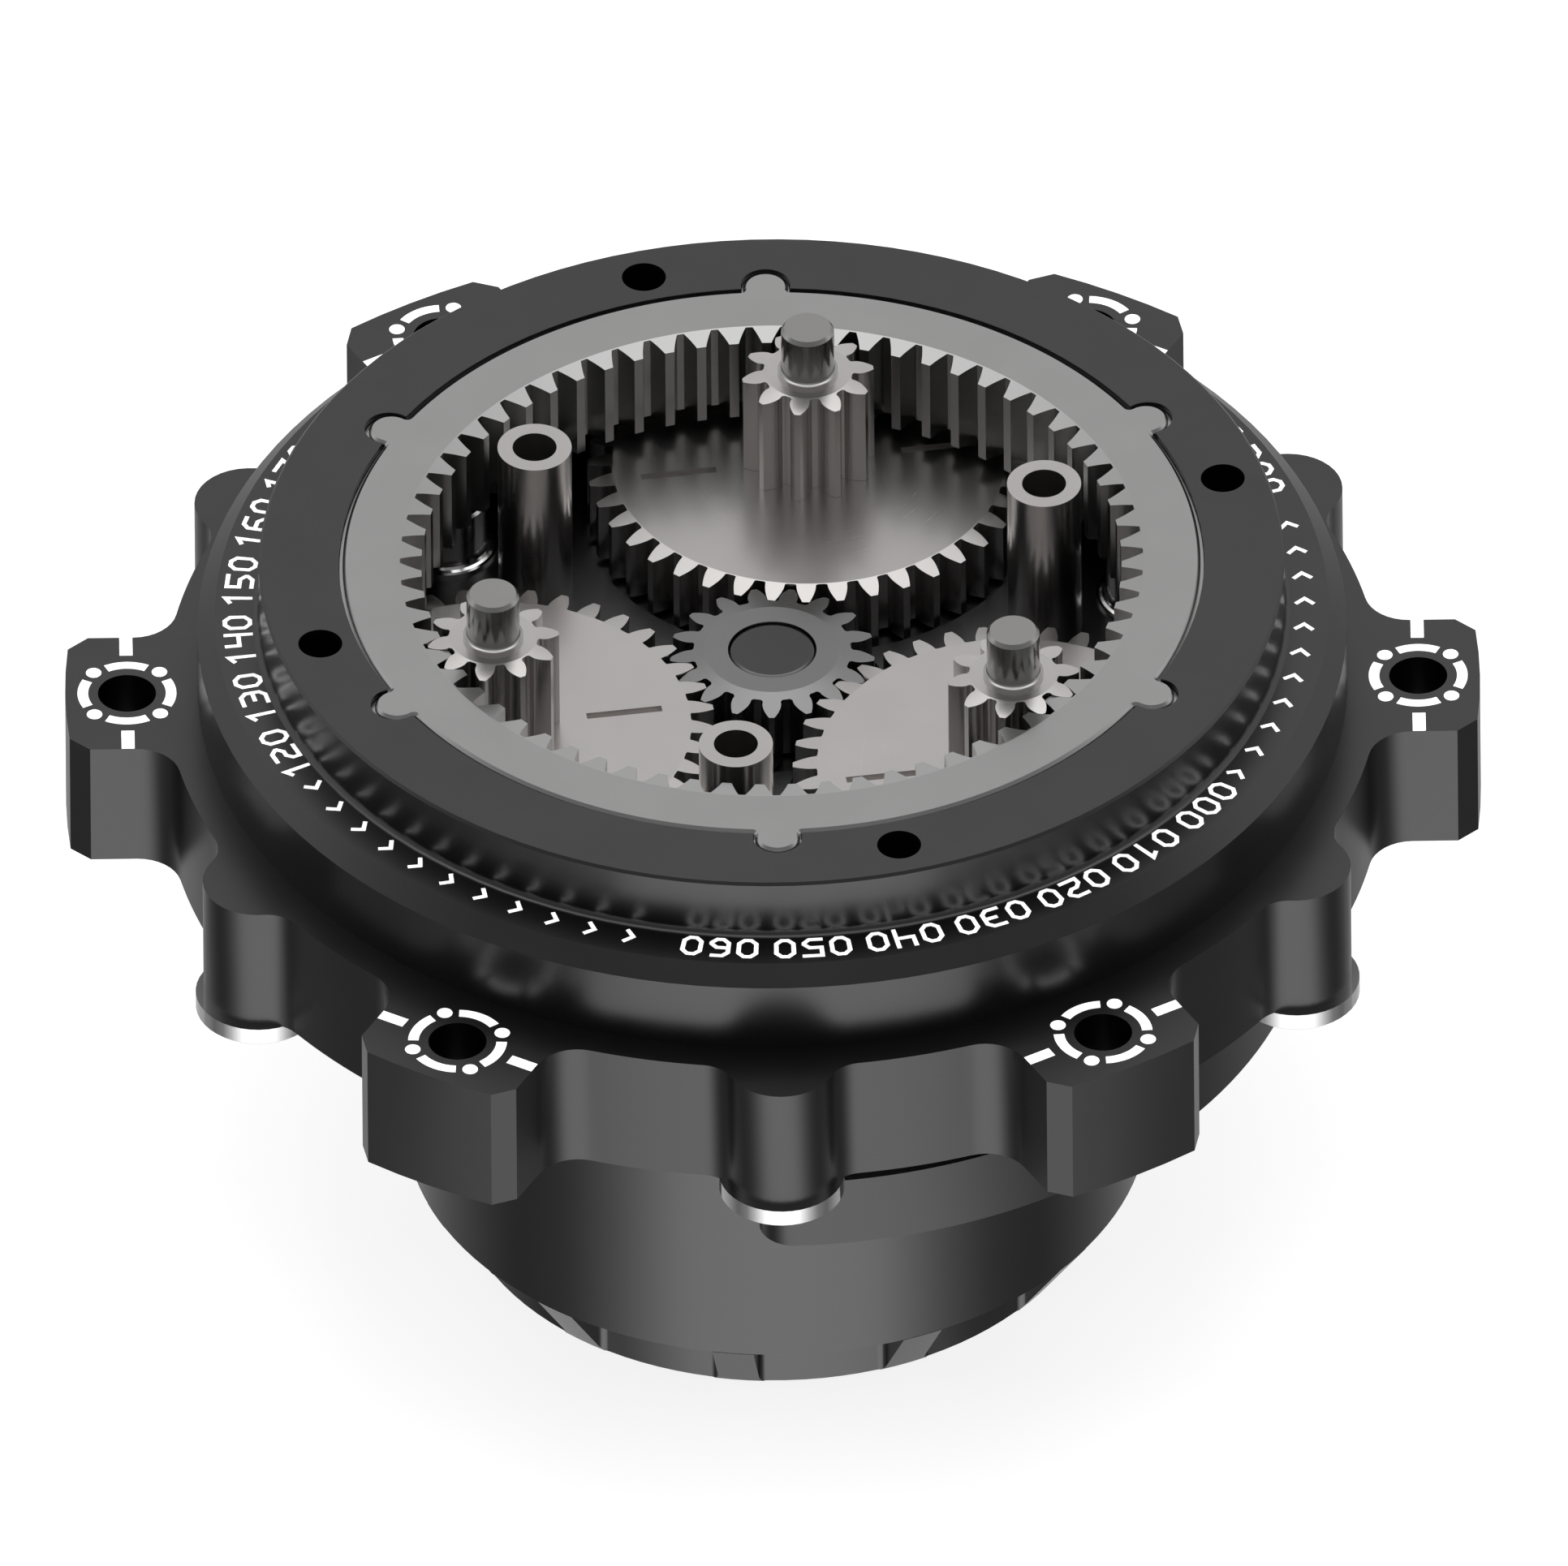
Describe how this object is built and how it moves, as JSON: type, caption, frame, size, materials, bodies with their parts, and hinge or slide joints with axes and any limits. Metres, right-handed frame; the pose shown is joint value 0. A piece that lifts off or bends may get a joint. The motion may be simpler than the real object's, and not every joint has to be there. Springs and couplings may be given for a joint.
{
  "type": "planetary gear actuator",
  "caption": "Compact round gear actuator: lugged output housing with an internal ring gear, stepped planets, a central sun gear and a flat brushless motor below.",
  "frame": {"origin": "on the main axis, at the lowest face of the motor's end bell", "axes": "+Z along the main axis, from the motor towards the gears; +X through the middle of a lug, over the half flange; +Y completes the frame"},
  "size_m": [0.08, 0.075, 0.0482],
  "materials": {
    "black_anodised": "satin black anodised, fine bead-blasted grain",
    "dark_aluminium": "dark satin anodised",
    "gear_steel": "ground gear steel, fine turning marks",
    "dark_gear_steel": "dark hardened steel",
    "bright_steel": "bright turned steel",
    "motor_black": "satin black coating",
    "magnet_nickel": "nickel plated",
    "lamination_steel": "stacked sheet with dark varnish",
    "copper_winding": "enamelled copper wire",
    "cage_brass": "pressed brass",
    "white_print": "matt white pad-printed ink"
  },
  "bodies": {
    "carrier": {"carrier_base": "dark_aluminium", "post_1": "bright_steel", "post_2": "bright_steel", "post_3": "bright_steel", "clamp_screws": "bright_steel", "motor_screws": "bright_steel", "planet_bearing_1": "bright_steel", "planet_bearing_2": "bright_steel", "planet_bearing_3": "bright_steel", "main_bearing_inner": "bright_steel", "half_flange": "black_anodised", "motor_base": "black_anodised", "motor_bearing_front": "bright_steel", "motor_bearing_rear": "bright_steel", "stator_core": "lamination_steel", "stator_windings": "copper_winding"},
    "output": {"housing": "black_anodised", "ring_gear": "gear_steel", "main_bearing_outer": "bright_steel", "main_bearing_shields": "bright_steel", "bearing_screws": "bright_steel"},
    "rotor": {"sun_gear": "dark_gear_steel", "motor_shaft": "dark_gear_steel", "rotor_can": "motor_black", "end_bell": "motor_black", "magnets": "magnet_nickel"},
    "planet_1": {"planet_gear_1": "gear_steel", "planet_pinion_1": "gear_steel"},
    "planet_2": {"planet_gear_2": "gear_steel", "planet_pinion_2": "gear_steel"},
    "planet_3": {"planet_gear_3": "gear_steel", "planet_pinion_3": "gear_steel"},
    "ball_set": {"main_bearing_balls": "bright_steel", "main_bearing_cage": "cage_brass"}
  },
  "joints": [
    {"name": "output_spin", "type": "hinge", "parent": "carrier", "child": "output", "pos_m": [0, 0, 0.031], "axis": [0, 0, 1], "continuous": true},
    {"name": "rotor_spin", "type": "hinge", "parent": "carrier", "child": "rotor", "pos_m": [0, 0, 0.02], "axis": [0, 0, 1], "continuous": true},
    {"name": "planet_1_spin", "type": "hinge", "parent": "carrier", "child": "planet_1", "pos_m": [0.00229, 0.01695, 0.0366], "axis": [0, 0, 1], "continuous": true},
    {"name": "planet_2_spin", "type": "hinge", "parent": "carrier", "child": "planet_2", "pos_m": [-0.01582, -0.00649, 0.0366], "axis": [0, 0, 1], "continuous": true},
    {"name": "planet_3_spin", "type": "hinge", "parent": "carrier", "child": "planet_3", "pos_m": [0.01353, -0.01046, 0.0366], "axis": [0, 0, 1], "continuous": true},
    {"name": "ball_set_spin", "type": "hinge", "parent": "carrier", "child": "ball_set", "pos_m": [0, 0, 0.031], "axis": [0, 0, 1], "continuous": true}
  ],
  "couplings": [
    {"joint": "rotor_spin", "follows": "output_spin", "ratio": -15.765},
    {"joint": "planet_1_spin", "follows": "output_spin", "ratio": 6.7},
    {"joint": "planet_2_spin", "follows": "output_spin", "ratio": 6.7},
    {"joint": "planet_3_spin", "follows": "output_spin", "ratio": 6.7},
    {"joint": "ball_set_spin", "follows": "output_spin", "ratio": 0.52679}
  ]
}
